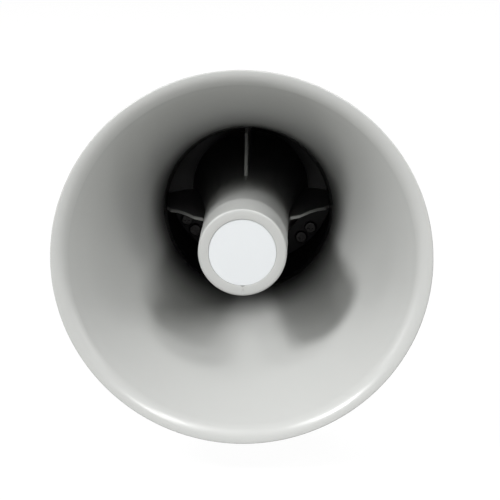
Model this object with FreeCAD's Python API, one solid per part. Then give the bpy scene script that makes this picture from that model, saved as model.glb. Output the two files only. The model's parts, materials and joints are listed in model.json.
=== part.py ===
import FreeCAD, Part
import math
import os

# A weatherproof public-address horn of the re-entrant kind, on a tilting stainless bracket.
# Millimetres. +Z is up and the mouth faces -Y. The origin is the middle of the bracket's foot.
# A depth is measured back from the plane of the mouth, along the horn's own axis.

# Mouth and flare
mouth_radius = 105.0
lip_width = 7.0
lip_depth = 9.0
lip_roll = 2.5
lip_crown = 1.1
flare_wall = 2.8
flare_depth = 135.0
flare_step_in = 4.0
flare_steps = 8

# Joint between flare and body
flange_reach = 3.5
flange_thickness = 4.0
gasket_thickness = 1.0
collar_length = 10.0
bell_ring_height = 4.0
bell_ring_clearance = 0.2
bell_ring_step = 1.1

# Screws and the lugs that they enter
screw_radius = 2.0
screw_head_radius = 3.8
screw_head_height = 2.4
thread_clearance = 0.05
hole_clearance = 0.2
recess_width = 1.1
recess_depth = 1.4
recess_share = 0.55
head_round_share = 0.45
screw_bite = 7.0
cover_screw_bite = 5.0
tip_room = 1.0
lug_radius = 5.0
lug_reach = 5.5
lug_root_gap = 0.5
lug_length = 10.0
lug_count = 4
lug_start_angle = 45.0

# Rear body
body_wall = 3.0
throat_length = 77.0
floor_thickness = 3.0
compartment_length = 32.0
rear_collar_reach = 2.5
rear_collar_length = 6.0

# Screws seen on the floor of the throat
floor_screw_margin = 5.5
floor_screw_gap = 0.4
floor_boss_radius = 3.6
floor_boss_height = 6.0
throat_screw_start_angle = 49.7
throat_screw_count = 4

# Centre bell, its vanes and its cap
centre_radius = 24.3
centre_wall = 2.5
bell_bend_lead = 35.0
bell_flare = 10.4
bell_floor_gap = 19.0
bell_ring_width = 3.6
vane_thickness = 1.9
vane_reach = 47.0
vane_edge_shares = ((0.05, 0.34), (0.28, 0.44), (0.53, 0.68), (0.75, 0.83), (0.93, 0.88))
vane_root_sink = 1.0
vane_root_gap = 0.5
vane_flare_gap = 0.3
vane_rear_gap = 7.0
vane_corner = 12.0
vane_wall_gap = 0.6
cap_front_depth = 16.5
cap_length = 28.0
cap_overhang = 0.3
cap_edge_radius = 1.2
cap_crown = 0.3
cap_socket_depth = 6.0
cap_socket_wall = 1.4
cap_fit = 0.05
label_margin = 5.9
label_thickness = 0.8
label_sink = 0.35
label_clearance = 0.1
notch_width = 1.2
notch_reach = 0.8

# Tone tube
tone_wall = 2.4
tone_throat_radius = 9.0
tone_end_radius = 14.0
tone_cap_gap = 3.5
tone_flange_thickness = 3.0
tone_flange_gap = 0.6
tone_foot_radius = 11.0

# Driver
driver_rim = 1.0
driver_cover_thickness = 13.0
driver_gasket_margin = 4.0
driver_gasket_inset = 2.0
driver_ear_radius = 4.2
driver_ear_reach = 5.0
driver_rear_room = 3.5
plug_pocket_depth = 4.0
plug_ring_reach = 7.3
plug_ring_width = 3.7
plug_rib_thickness = 1.6
plug_rib_height = 1.8
plug_tip_reach = 3.0
plug_inset = 2.5
plug_gap = 1.2
dome_radius = 19.0
dome_height = 4.5
dome_thickness = 0.35
dome_collar_width = 1.0
dome_edge_inset = 1.0
dome_edge_trim = 0.2
surround_width = 6.0
surround_bead_width = 3.0
surround_bead_height = 1.3
surround_thickness = 0.4
surround_roll = 0.9
clamp_ring_margin = 6.0
clamp_ring_height = 4.5
clamp_seat_gap = 0.4
coil_gap = 0.35
coil_former_fit = 0.05
coil_former_thickness = 0.2
coil_winding_thickness = 0.6
coil_winding_height = 5.0
coil_former_length = 10.6
plate_margin = 4.0
top_plate_thickness = 6.0
magnet_overhang = 2.0
magnet_room = 5.0
magnet_bevel = 1.0
magnet_thickness = 12.0
back_plate_thickness = 6.0
pole_recess = 0.3
plate_screw_room = 6.0
plate_screw_radius = 1.5
plate_screw_head_radius = 2.9
plate_screw_head_height = 1.8
plate_screw_start_angle = 15.0
plate_screw_count = 3
tab_width = 2.8
tab_thickness = 0.5
tab_length = 5.5
tab_angles = (80.0, 100.0)
tab_base_radius = 3.0
tab_base_height = 2.5
tab_base_sink = 2.0

# Rear cover
cover_wall = 3.0
cover_taper = 4.5
cover_corner = 7.0

# Line transformer and terminal block
transformer_corner_gap = 0.3
core_width = 36.0
core_height = 30.0
core_stack = 12.0
core_yoke = 6.0
core_side_leg = 7.0
coil_depth = 20.0
coil_corner = 3.0
core_leg = 10.0
strap_margin = 0.5
strap_thickness = 0.8
strap_foot = 9.0
small_screw_radius = 1.5
small_screw_head_radius = 2.8
small_screw_head_height = 2.0
small_screw_bite = 2.2
block_pitch = 5.8
block_height = 12.0
block_depth = 13.0
block_nut_gap = 2.5
block_drop = 12.0
block_ways = 3
block_entry_radius = 1.7
block_screw_radius = 2.0
block_screw_height = 4.0

# Leads inside the housing
lead_radius = 0.8
lead_tab_reach = 3.2
winding_lead_spread = 3.0
lead_core_gap = 1.6
lead_turn_gap = 14.0
lead_entry_gap = 14.0
lead_arc_share = 0.45

# Cable gland
gland_edge_room = 15.0
gland_thread_radius = 8.0
gland_fit = 0.1
gland_hex = 19.0
gland_flange = 4.0
gland_thread_end = 1.5
gland_neck_length = 6.0
gland_neck_radius = 7.6
gland_bore_radius = 5.5
gland_nut_wall = 2.8
gland_nut_end = 1.6
gland_nut_gap = 0.6
gland_nut_step = 0.9
gland_nut_round_share = 0.8
gland_nut_hex = 19.0
gland_nut_hex_length = 7.0
gland_nut_mouth = 4.6
gland_seal_length = 8.0
gland_seal_fit = 0.4
gland_cable_radius = 3.5
locknut_hex = 22.0
locknut_thickness = 4.5

# Bracket and pivot
pivot_height = 125.0
boss_radius = 13.0
boss_reach = 3.5
boss_end_wall = 2.0
boss_rear_gap = 1.0
insert_radius = 5.5
insert_length = 12.0
bolt_radius = 4.0
bolt_end_gap = 0.3
bolt_hex = 13.0
bolt_head_height = 5.3
running_clearance = 0.08
side_clearance = 0.1
friction_washer_radius = 12.0
friction_washer_thickness = 1.0
washer_radius = 8.0
washer_thickness = 1.6
bracket_thickness = 2.5
bracket_width = 30.0
bracket_bend = 4.0
foot_hole_spacing = 60.0
foot_hole_radius = 3.5
foot_centre_radius = 5.5

# Radii that follow from the sizes above, from the diaphragm outwards
surround_clamp_radius = dome_radius + surround_width
bead_radius = surround_clamp_radius + surround_bead_width
plate_screw_circle = bead_radius + plate_screw_room
top_plate_radius = plate_screw_circle + plate_margin
magnet_outer_radius = top_plate_radius + magnet_overhang
magnet_inner_radius = dome_radius + magnet_room
clamp_ring_radius = plate_screw_circle + clamp_ring_margin
driver_radius = clamp_ring_radius + driver_rim
plug_ring_radius = dome_radius + plug_ring_reach
plug_radius = dome_radius - plug_inset
floor_screw_circle = driver_radius + driver_ear_reach
chamber_radius = floor_screw_circle + floor_screw_margin
body_radius = chamber_radius + body_wall
flare_end_radius = chamber_radius - flare_step_in
flange_radius = body_radius + flange_reach
rear_collar_radius = body_radius + rear_collar_reach
lug_circle = body_radius + lug_reach
cover_back_radius = body_radius - cover_taper
boss_face = body_radius + boss_reach
bell_ring_outer = chamber_radius - bell_ring_step + bell_ring_width
former_radius = dome_radius + coil_former_fit
winding_radius = former_radius + coil_former_thickness + coil_winding_thickness
pole_radius = former_radius - coil_gap
crease_radius = mouth_radius - lip_width
bell_rim_radius = centre_radius + bell_flare
centre_bore = centre_radius - centre_wall
cap_radius = centre_radius + cap_overhang
label_radius = cap_radius - label_margin
gland_nut_radius = gland_neck_radius + gland_nut_wall

# Depths that follow, from the mouth backwards
flare_rate = math.log(crease_radius / flare_end_radius) / (flare_depth - lip_depth)
cap_end_depth = cap_front_depth + cap_length
tone_end_depth = cap_end_depth + tone_cap_gap
bell_bend_depth = flare_depth - bell_bend_lead
vane_front_depth = flare_depth - vane_reach
body_front = flare_depth + gasket_thickness
floor_depth = flare_depth + throat_length
bell_rim_depth = floor_depth - bell_floor_gap
vane_rear_depth = bell_rim_depth - vane_rear_gap
floor_front = floor_depth + tone_flange_thickness
floor_back = floor_front + floor_thickness
body_end = floor_back + compartment_length
pivot_depth = body_end - boss_radius - boss_rear_gap
driver_front = floor_back + gasket_thickness
driver_cover_end = driver_front + driver_cover_thickness
dome_edge_depth = driver_cover_end + dome_edge_inset
top_plate_front = driver_cover_end + clamp_ring_height
magnet_front = top_plate_front + top_plate_thickness
back_plate_front = magnet_front + magnet_thickness
driver_back = back_plate_front + back_plate_thickness
cover_front = body_end + gasket_thickness
cover_inside = driver_back + driver_rear_room + coil_depth
cover_back = cover_inside + cover_wall

# Places beside the axis that follow
boss_length = insert_length + boss_end_wall
ear_inner = boss_face + friction_washer_thickness + side_clearance
ear_outer = ear_inner + bracket_thickness
gland_drop = cover_back_radius - cover_corner - gland_edge_room
block_left = locknut_hex / 2 + block_nut_gap
block_width = block_pitch * block_ways
coil_width = core_width - 2 * core_side_leg
coil_window = core_height - 2 * core_yoke
strap_width = core_yoke - strap_margin
strap_reach = core_width / 2 + strap_thickness + strap_foot
transformer_reach = cover_back_radius - cover_corner - transformer_corner_gap
transformer_height = math.sqrt(transformer_reach ** 2 - strap_reach ** 2) - core_height / 2
gasket_radius = lug_circle - screw_radius
driver_screw_pitch = floor_boss_radius + driver_ear_radius + floor_screw_gap
driver_screw_turn = math.degrees(driver_screw_pitch / floor_screw_circle)

X_AXIS = FreeCAD.Vector(1, 0, 0)
HORN_AXIS = FreeCAD.Vector(0, 1, 0)
PIVOT = FreeCAD.Vector(0, 0, pivot_height)


def on_profile(radius, depth):
    """A point above the horn's axis, at a radius from it and a depth behind the mouth."""
    return FreeCAD.Vector(0, depth - pivot_depth, pivot_height + radius)


def at_angle(radius, angle, depth):
    """A point round the horn's axis. The angle runs clockwise from +X, as seen from the front."""
    turn = math.radians(angle)
    x = radius * math.cos(turn)
    z = pivot_height - radius * math.sin(turn)
    return FreeCAD.Vector(x, depth - pivot_depth, z)


def line(first, second):
    """A straight edge between two (radius, depth) pairs."""
    return Part.LineSegment(on_profile(*first), on_profile(*second)).toShape()


def arc(first, middle, last):
    """An arc through three (radius, depth) pairs."""
    return Part.Arc(on_profile(*first), on_profile(*middle), on_profile(*last)).toShape()


def curve(pairs):
    """A smooth curve through (radius, depth) pairs."""
    spline = Part.BSplineCurve()
    spline.interpolate([on_profile(*pair) for pair in pairs])
    return spline.toShape()


def turned(edges):
    """A solid of revolution about the horn's axis, from the edges of its half section."""
    face = Part.Face(Part.Wire(Part.__sortEdges__(edges)))
    solid = face.revolve(PIVOT, HORN_AXIS, 360)
    return solid


def turned_outline(pairs):
    """A solid of revolution whose half section has straight sides only."""
    edges = []
    for first, second in zip(pairs, pairs[1:] + pairs[:1]):
        edges.append(line(first, second))
    return turned(edges)


def disc(radius, front, back, centre=None):
    """A round slab across the horn's axis, or across a line that runs beside it."""
    base = on_profile(0, front) if centre is None else centre
    return Part.makeCylinder(radius, back - front, base, HORN_AXIS)


def ring(outer, inner, front, back):
    """A flat ring about the horn's axis."""
    return disc(outer, front, back).cut(disc(inner, front, back))


def beside(x, z, depth):
    """A point that lies x to the right of the horn's axis and z above it."""
    return FreeCAD.Vector(x, depth - pivot_depth, pivot_height + z)


def block(x0, x1, z0, z1, front, back):
    """A box given by its sides beside the horn's axis and by two depths."""
    return Part.makeBox(x1 - x0, back - front, z1 - z0, beside(x0, z0, front))


def hexagon(across_flats, height, base, direction):
    """A hexagonal prism."""
    corner = across_flats / math.sqrt(3)
    side = FreeCAD.Vector(0, 0, 1)
    points = []
    for step in range(7):
        turn = FreeCAD.Rotation(direction, 60 * step)
        points.append(base + turn.multVec(side * corner))
    face = Part.Face(Part.makePolygon(points))
    return face.extrude(direction * height)


def screw(head_point, direction, length, radius, head_radius, head_height):
    """A pan-head screw with a cross recess. The head's underside is at head_point."""
    shank = Part.makeCylinder(radius, length, head_point, direction)
    head = Part.makeCylinder(head_radius, head_height, head_point, direction * -1)
    top = head_point - direction * head_height
    rim = [edge for edge in head.Edges if abs((edge.CenterOfMass - top).Length) < 0.001]
    head = head.makeFillet(head_height * head_round_share, rim)
    sunk = recess_depth * head_height / screw_head_height
    half = recess_width * head_radius / screw_head_radius / 2
    reach = head_radius * recess_share
    for turn in (0, 90):
        slot = Part.makeBox(2 * reach, 2 * half, sunk, FreeCAD.Vector(-reach, -half, 0))
        slot.rotate(FreeCAD.Vector(0, 0, 0), FreeCAD.Vector(0, 0, 1), turn)
        slot.Placement = FreeCAD.Placement(
            top, FreeCAD.Rotation(FreeCAD.Vector(0, 0, 1), direction)
        ).multiply(slot.Placement)
        head = head.cut(slot)
    return head.fuse(shank)


def even_angles(start, count):
    """Angles spaced evenly round the horn's axis."""
    return [start + 360.0 * step / count for step in range(count)]


def fused(first, others):
    """One solid from several that meet."""
    return first.multiFuse(others).removeSplitter()


def cut_all(solid, tools):
    """A solid with several pieces taken out of it."""
    return solid.cut(Part.makeCompound(tools))


def flare_radius(depth):
    """The flare's inner radius: an exponential horn between its end and its lip."""
    return flare_end_radius * math.exp(flare_rate * (flare_depth - depth))


def flare_slope(depth):
    """How far the flare leans out from the axis at a depth, in radians."""
    return math.atan(flare_rate * flare_radius(depth))


def flare_outside(depth):
    """The point of the flare's outer face that lies across the wall from a depth inside."""
    slope = flare_slope(depth)
    return (
        flare_radius(depth) + flare_wall * math.cos(slope),
        depth + flare_wall * math.sin(slope),
    )


def lugs(front, back, hole_radius, hole_front, hole_back):
    """Screw lugs round a flange, and the holes to cut from them."""
    bodies = []
    holes = []
    for angle in even_angles(lug_start_angle, lug_count):
        post = disc(lug_radius, front, back, at_angle(lug_circle, angle, front))
        web = block(chamber_radius + lug_root_gap, lug_circle, -lug_radius, lug_radius, front, back)
        web.rotate(PIVOT, HORN_AXIS, angle)
        bodies.append(post.fuse(web))
        centre = at_angle(lug_circle, angle, hole_front)
        holes.append(disc(hole_radius, hole_front, hole_back, centre))
    return bodies, holes


def flare_horn():
    """The bell: one moulding, with a rolled lip in front and a flange with lugs behind."""
    crease = (crease_radius, lip_depth)
    crest = (mouth_radius - lip_roll, 0.0)
    lean = math.atan2(crest[0] - crease[0], crease[1] - crest[1])
    lip_middle = (
        (crease[0] + crest[0]) / 2 - lip_crown * math.cos(lean),
        (crease[1] + crest[1]) / 2 - lip_crown * math.sin(lean),
    )
    roll_middle = (
        mouth_radius - lip_roll * (1 - math.sqrt(0.5)),
        lip_roll * (1 - math.sqrt(0.5)),
    )
    edge = (mouth_radius, lip_roll)
    hem = (mouth_radius, lip_depth)
    step = (flare_depth - lip_depth) / flare_steps
    depths = [lip_depth + step * count for count in range(flare_steps + 1)]
    inner = [(flare_radius(depth), depth) for depth in depths]
    flange_front = flare_depth - flange_thickness
    outer = [flare_outside(depth) for depth in depths[:-1]]
    corner_radius = flare_radius(flange_front) + flare_wall / math.cos(flare_slope(flange_front))
    corner = (corner_radius, flange_front)
    outer.append(corner)
    flange_edge = (flange_radius, flange_front)
    flange_back = (flange_radius, flare_depth)
    edges = [
        arc(crease, lip_middle, crest),
        arc(crest, roll_middle, edge),
        line(edge, hem),
        line(hem, outer[0]),
        curve(outer),
        line(corner, flange_edge),
        line(flange_edge, flange_back),
        line(flange_back, inner[-1]),
        curve(inner),
    ]
    bell = turned(edges)
    front = flare_depth - lug_length
    pilot = screw_radius + thread_clearance
    bite_end = flare_depth - screw_bite - tip_room
    bodies, holes = lugs(front, flare_depth, pilot, bite_end, flare_depth)
    return cut_all(fused(bell, bodies), holes)


def flare_gasket():
    """The flat seal between the flare and the rear body."""
    return ring(gasket_radius, bell_ring_outer - bell_ring_width, flare_depth, body_front)


def bell_profile_arc(radius_offset):
    """The bend of the centre bell: its start, middle and end, at an offset from the outside."""
    run = bell_rim_depth - bell_bend_depth
    rise = bell_rim_radius - centre_radius
    bend = (run * run + rise * rise) / (2 * rise)
    half_turn = math.asin(run / bend) / 2
    reach = bend + radius_offset
    points = []
    for turn in (0, half_turn, 2 * half_turn):
        radius = centre_radius + bend - reach * math.cos(turn)
        depth = bell_bend_depth + reach * math.sin(turn)
        points.append((radius, depth))
    return points


def bell_hollow():
    """The space inside the centre bell, from its front end to behind its rim."""
    start, middle, end = bell_profile_arc(centre_wall)
    front = cap_end_depth - cap_socket_depth
    beyond = bell_rim_depth + 2 * centre_wall
    edges = [
        line((0, front), (centre_bore, front)),
        line((centre_bore, front), start),
        arc(start, middle, end),
        line(end, (end[0], beyond)),
        line((end[0], beyond), (0, beyond)),
        line((0, beyond), (0, front)),
    ]
    return turned(edges)


def vane():
    """One of the vanes that hold the centre bell, standing straight up from the axis."""
    tip_radius = chamber_radius - vane_wall_gap
    ring_front = body_front
    ring_inner = bell_ring_outer - bell_ring_width
    root_radius = flare_end_radius - vane_root_gap
    root_depth = flare_depth + vane_flare_gap
    inner_radius = centre_radius - vane_root_sink
    front_edge = [(inner_radius, vane_front_depth)]
    for out, back in vane_edge_shares:
        radius = centre_radius + out * (root_radius - centre_radius)
        front_edge.append((radius, vane_front_depth + back * (root_depth - vane_front_depth)))
    front_edge.append((root_radius, root_depth))
    corner_depth = vane_rear_depth - vane_corner
    corner_radius = tip_radius - vane_corner
    edges = [line(first, second) for first, second in zip(front_edge, front_edge[1:])]
    edges += [
        line(front_edge[-1], (ring_inner, ring_front)),
        line((ring_inner, ring_front), (tip_radius, ring_front)),
        line((tip_radius, ring_front), (tip_radius, corner_depth)),
        line((tip_radius, corner_depth), (corner_radius, vane_rear_depth)),
        line((corner_radius, vane_rear_depth), (inner_radius, vane_rear_depth)),
        line((inner_radius, vane_rear_depth), front_edge[0]),
    ]
    face = Part.Face(Part.Wire(Part.__sortEdges__(edges)))
    face.translate(X_AXIS * (-vane_thickness / 2))
    return face.extrude(X_AXIS * vane_thickness)


def centre_bell():
    """The centre tube that flares to the rear, with four vanes and the ring that is clamped."""
    start, middle, end = bell_profile_arc(0)
    inner_start, inner_middle, inner_end = bell_profile_arc(centre_wall)
    joint = cap_end_depth
    front = joint - cap_socket_depth + cap_fit
    spigot = cap_radius - cap_socket_wall - cap_fit
    across = (end[0] - inner_end[0], end[1] - inner_end[1])
    rim_middle = (
        (end[0] + inner_end[0]) / 2 - across[1] / 2,
        (end[1] + inner_end[1]) / 2 + across[0] / 2,
    )
    edges = [
        line((centre_bore, front), (spigot, front)),
        line((spigot, front), (spigot, joint)),
        line((spigot, joint), (centre_radius, joint)),
        line((centre_radius, joint), start),
        arc(start, middle, end),
        arc(end, rim_middle, inner_end),
        arc(inner_end, inner_middle, inner_start),
        line(inner_start, (centre_bore, front)),
    ]
    tube = turned(edges)
    ring_inner = bell_ring_outer - bell_ring_width
    clamped = ring(bell_ring_outer, ring_inner, body_front, body_front + bell_ring_height)
    pieces = [clamped]
    hollow = bell_hollow()
    for turn in even_angles(0, 4):
        blade = vane()
        blade.rotate(PIVOT, HORN_AXIS, turn)
        pieces.append(blade.cut(hollow))
    return fused(tube, pieces)


def front_cap():
    """The closed nose of the centre tube, with a shallow round seat for its label."""
    front = cap_front_depth
    edge_radius = cap_radius - cap_edge_radius
    seat_radius = label_radius + label_clearance
    seat_depth = front + cap_crown + label_sink + label_thickness
    shoulder = front + cap_crown
    rounding = cap_edge_radius * (1 - math.sqrt(0.5))
    inside = seat_depth + centre_wall
    socket = cap_end_depth - cap_socket_depth
    socket_radius = cap_radius - cap_socket_wall
    edges = [
        line((0, seat_depth), (seat_radius, seat_depth)),
        line((seat_radius, seat_depth), (seat_radius, shoulder)),
        arc((seat_radius, shoulder), ((seat_radius + edge_radius) / 2, front), (edge_radius, shoulder)),
        arc(
            (edge_radius, shoulder),
            (cap_radius - rounding, shoulder + rounding),
            (cap_radius, shoulder + cap_edge_radius),
        ),
        line((cap_radius, shoulder + cap_edge_radius), (cap_radius, cap_end_depth)),
        line((cap_radius, cap_end_depth), (socket_radius, cap_end_depth)),
        line((socket_radius, cap_end_depth), (socket_radius, socket)),
        line((socket_radius, socket), (centre_bore, socket)),
        line((centre_bore, socket), (centre_bore, inside + centre_wall)),
        line((centre_bore, inside + centre_wall), (centre_bore - centre_wall, inside)),
        line((centre_bore - centre_wall, inside), (0, inside)),
        line((0, inside), (0, seat_depth)),
    ]
    cap = turned(edges)
    half = notch_width / 2
    notch = block(-half, half, -seat_radius - notch_reach, -seat_radius + notch_width, front, seat_depth)
    return cap.cut(notch)


def cap_label():
    """The plain disc that lies in the cap's seat."""
    front = cap_front_depth + cap_crown + label_sink
    return disc(label_radius, front, front + label_thickness)


def tone_tube():
    """The first stretch of the horn: a widening tube on a round foot."""
    outer_end = tone_end_radius + tone_wall
    outer_base = tone_throat_radius + tone_wall
    foot = floor_depth - tone_foot_radius
    foot_edge = outer_base + tone_foot_radius
    bow = tone_foot_radius * math.sqrt(0.5)
    edge_radius = chamber_radius - tone_flange_gap
    lip = tone_wall / 2
    edges = [
        line((tone_throat_radius, floor_front), (tone_end_radius, tone_end_depth)),
        arc(
            (tone_end_radius, tone_end_depth),
            (tone_end_radius + lip, tone_end_depth - lip),
            (outer_end, tone_end_depth),
        ),
        line((outer_end, tone_end_depth), (outer_base, foot)),
        arc((outer_base, foot), (foot_edge - bow, foot + bow), (foot_edge, floor_depth)),
        line((foot_edge, floor_depth), (edge_radius, floor_depth)),
        line((edge_radius, floor_depth), (edge_radius, floor_front)),
        line((edge_radius, floor_front), (tone_throat_radius, floor_front)),
    ]
    tube = turned(edges)
    holes = []
    for angle in floor_screw_angles():
        centre = at_angle(floor_screw_circle, angle, floor_depth)
        holes.append(disc(screw_radius + hole_clearance, floor_depth, floor_front, centre))
    return cut_all(tube, holes)


def throat_screw_angles():
    """Where the screws that hold the tone tube stand."""
    return even_angles(throat_screw_start_angle, throat_screw_count)


def driver_screw_angles():
    """Where the screws that hold the driver stand: each beside one of the tone tube's, in mirrored pairs."""
    angles = []
    for place, angle in enumerate(throat_screw_angles()):
        side = 1 if place % 2 else -1
        angles.append(angle + side * driver_screw_turn)
    return angles


def floor_screw_angles():
    """Every screw on the floor of the throat."""
    return throat_screw_angles() + driver_screw_angles()


def boss_point(side, x):
    """A point on the pivot's axis, on the left (-1) or the right (+1)."""
    return FreeCAD.Vector(side * x, 0, pivot_height)


def throat_body():
    """The rear body: chamber, floor, driver compartment, lugs and pivot bosses in one moulding."""
    collar_end = body_front + collar_length
    rear_collar = body_end - rear_collar_length
    shell = disc(body_radius, body_front, body_end)
    pieces = [disc(flange_radius, body_front, collar_end)]
    pieces.append(disc(rear_collar_radius, rear_collar, body_end))
    through = screw_radius + hole_clearance
    pilot = screw_radius + thread_clearance
    front_lugs, front_holes = lugs(body_front, collar_end, through, body_front, collar_end)
    pilot_front = body_end - cover_screw_bite - tip_room
    rear_lugs, rear_holes = lugs(body_end - lug_length, body_end, pilot, pilot_front, body_end)
    pieces += front_lugs + rear_lugs
    shell = fused(shell, pieces)
    hollows = [disc(chamber_radius, body_front, floor_front)]
    hollows.append(disc(chamber_radius, floor_back, body_end))
    recess = bell_ring_outer + bell_ring_clearance
    hollows.append(disc(recess, body_front, body_front + bell_ring_height))
    hollows.append(disc(tone_throat_radius, floor_front, floor_back))
    shell = cut_all(shell, hollows + front_holes + rear_holes)
    bosses = []
    bores = []
    for side in (-1, 1):
        outward = X_AXIS * side
        start = boss_point(side, boss_face - boss_length)
        bosses.append(Part.makeCylinder(boss_radius, boss_length, start, outward))
        base = boss_point(side, boss_face - insert_length)
        bores.append(Part.makeCylinder(insert_radius, insert_length, base, outward))
    for angle in throat_screw_angles():
        centre = at_angle(floor_screw_circle, angle, floor_back)
        bosses.append(disc(floor_boss_radius, floor_back, floor_back + floor_boss_height, centre))
        base = at_angle(floor_screw_circle, angle, floor_front)
        bores.append(disc(pilot, floor_front, floor_back + floor_boss_height, base))
    for angle in driver_screw_angles():
        base = at_angle(floor_screw_circle, angle, floor_front)
        bores.append(disc(through, floor_front, floor_back, base))
    return cut_all(fused(shell, bosses), bores)


def flare_screws():
    """The screws that draw the flare onto the body, entered from behind."""
    head = body_front + collar_length
    length = head - flare_depth + screw_bite
    return lug_screws(head, length)


def cover_screws():
    """The screws that hold the rear cover."""
    length = lug_length + gasket_thickness + cover_screw_bite
    return lug_screws(cover_front + lug_length, length)


def lug_screws(head_depth, length):
    """A set of screws in the lugs, with their heads to the rear."""
    screws = []
    for angle in even_angles(lug_start_angle, lug_count):
        point = at_angle(lug_circle, angle, head_depth)
        forward = HORN_AXIS * -1
        screws.append(screw(point, forward, length, screw_radius, screw_head_radius, screw_head_height))
    return Part.makeCompound(screws)


def floor_screws(angles, length):
    """A set of screws on the throat's floor, with their heads to the front."""
    screws = []
    for angle in angles:
        point = at_angle(floor_screw_circle, angle, floor_depth)
        screws.append(screw(point, HORN_AXIS, length, screw_radius, screw_head_radius, screw_head_height))
    return Part.makeCompound(screws)


def throat_screws():
    """The screws that hold the tone tube's foot."""
    length = floor_back + floor_boss_height - floor_depth - tip_room
    return floor_screws(throat_screw_angles(), length)


def driver_screws():
    """The screws that hold the driver from the front."""
    length = driver_front - floor_depth + screw_bite
    return floor_screws(driver_screw_angles(), length)


def driver_gasket():
    """The seal round the driver's throat."""
    outer = driver_radius - driver_gasket_margin
    inner = tone_throat_radius + driver_gasket_inset
    return ring(outer, inner, floor_back, driver_front)


def driver_ears():
    """The driver cover's ears, each with a blind hole for its screw."""
    bodies = []
    holes = []
    for angle in driver_screw_angles():
        centre = at_angle(floor_screw_circle, angle, driver_front)
        bodies.append(disc(driver_ear_radius, driver_front, driver_cover_end, centre))
        inner = driver_radius - driver_ear_radius
        reach = driver_ear_radius
        web = block(inner, floor_screw_circle, -reach, reach, driver_front, driver_cover_end)
        web.rotate(PIVOT, HORN_AXIS, angle)
        bodies.append(web)
        pilot = screw_radius + thread_clearance
        holes.append(disc(pilot, driver_front, driver_front + screw_bite + tip_room, centre))
    return bodies, holes


def driver_cover():
    """The driver's cast front: a conical throat and a pocket for the phase plug."""
    pocket = driver_cover_end - plug_pocket_depth
    pocket_radius = plug_ring_radius + label_clearance
    cone_radius = tone_throat_radius + (pocket - driver_front)
    outline = [
        (tone_throat_radius, driver_front),
        (driver_radius, driver_front),
        (driver_radius, driver_cover_end),
        (pocket_radius, driver_cover_end),
        (pocket_radius, pocket),
        (cone_radius, pocket),
    ]
    bodies, holes = driver_ears()
    for angle in plate_screw_angles():
        centre = at_angle(plate_screw_circle, angle, driver_front)
        sunk = driver_front + plate_screw_head_height
        holes.append(disc(plate_screw_head_radius + hole_clearance, driver_front, sunk, centre))
        holes.append(disc(plate_screw_radius + hole_clearance, driver_front, driver_cover_end, centre))
    for foot, outward in tab_feet():
        holes.append(Part.makeCylinder(tab_base_radius, tab_base_sink + tip_room, foot, outward))
    return cut_all(fused(turned_outline(outline), bodies), holes)


def plate_screw_angles():
    """Where the long screws that hold the motor to the cover stand."""
    return even_angles(plate_screw_start_angle, plate_screw_count)


def plate_screws():
    """The screws that hold the top plate and the clamp ring to the driver's cover."""
    screws = []
    length = magnet_front - tip_room - driver_front - plate_screw_head_height
    for angle in plate_screw_angles():
        point = at_angle(plate_screw_circle, angle, driver_front + plate_screw_head_height)
        screws.append(
            screw(
                point, HORN_AXIS, length, plate_screw_radius, plate_screw_head_radius, plate_screw_head_height,
            )
        )
    return Part.makeCompound(screws)


def dome_centre_depth():
    """Where the centre of the dome's sphere lies, and the sphere's outer radius."""
    sphere = (dome_radius ** 2 + dome_height ** 2) / (2 * dome_height)
    return dome_edge_depth - dome_height + sphere, sphere


def sphere_arc(centre_depth, sphere, radius):
    """The middle of the stretch of a sphere that runs from a radius to the axis, and its ends."""
    turn = math.asin(radius / sphere)
    pairs = []
    for angle in (turn, turn / 2, 0):
        pairs.append((sphere * math.sin(angle), centre_depth - sphere * math.cos(angle)))
    return pairs


def phase_plug():
    """The plug that leads sound from the whole dome into the throat, on three ribs and a ring."""
    centre_depth, sphere = dome_centre_depth()
    rim, middle, apex = sphere_arc(centre_depth, sphere + plug_gap, plug_radius)
    tip = (0, driver_front - plug_tip_reach)
    plug = turned([line(tip, rim), arc(rim, middle, apex), line(apex, tip)])
    pocket = driver_cover_end - plug_pocket_depth
    seat = ring(plug_ring_radius, plug_ring_radius - plug_ring_width, pocket, driver_cover_end)
    half = plug_rib_thickness / 2
    inner = plug_radius - plug_rib_height
    outer = plug_ring_radius - plug_ring_width / 2
    ribs = [seat]
    for turn in even_angles(0, 3):
        rib = block(inner, outer, -half, half, pocket, pocket + plug_rib_height)
        rib.rotate(PIVOT, HORN_AXIS, turn)
        ribs.append(rib)
    return fused(plug, ribs)


def diaphragm():
    """The domed diaphragm, with the narrow collar that the voice coil is glued to."""
    centre_depth, sphere = dome_centre_depth()
    rim, middle, apex = sphere_arc(centre_depth, sphere, dome_radius)
    inner = sphere - dome_thickness
    inner_rim, inner_middle, inner_apex = sphere_arc(centre_depth, inner, dome_radius - dome_edge_trim)
    collar = dome_radius + dome_collar_width
    back = dome_edge_depth + dome_thickness
    edges = [
        arc(rim, middle, apex),
        line(apex, inner_apex),
        arc(inner_apex, inner_middle, inner_rim),
        line(inner_rim, (inner_rim[0], back)),
        line((inner_rim[0], back), (collar, back)),
        line((collar, back), (collar, dome_edge_depth)),
        line((collar, dome_edge_depth), rim),
    ]
    return turned(edges)


def voice_coil():
    """The voice coil: a thin former with its winding round it."""
    start = dome_edge_depth + dome_thickness
    former = ring(former_radius + coil_former_thickness, former_radius, start, start + coil_former_length)
    middle = top_plate_front + top_plate_thickness / 2
    half = coil_winding_height / 2
    inner = former_radius + coil_former_thickness / 2
    winding = ring(winding_radius, inner, middle - half, middle + half)
    return fused(former, [winding])


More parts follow.
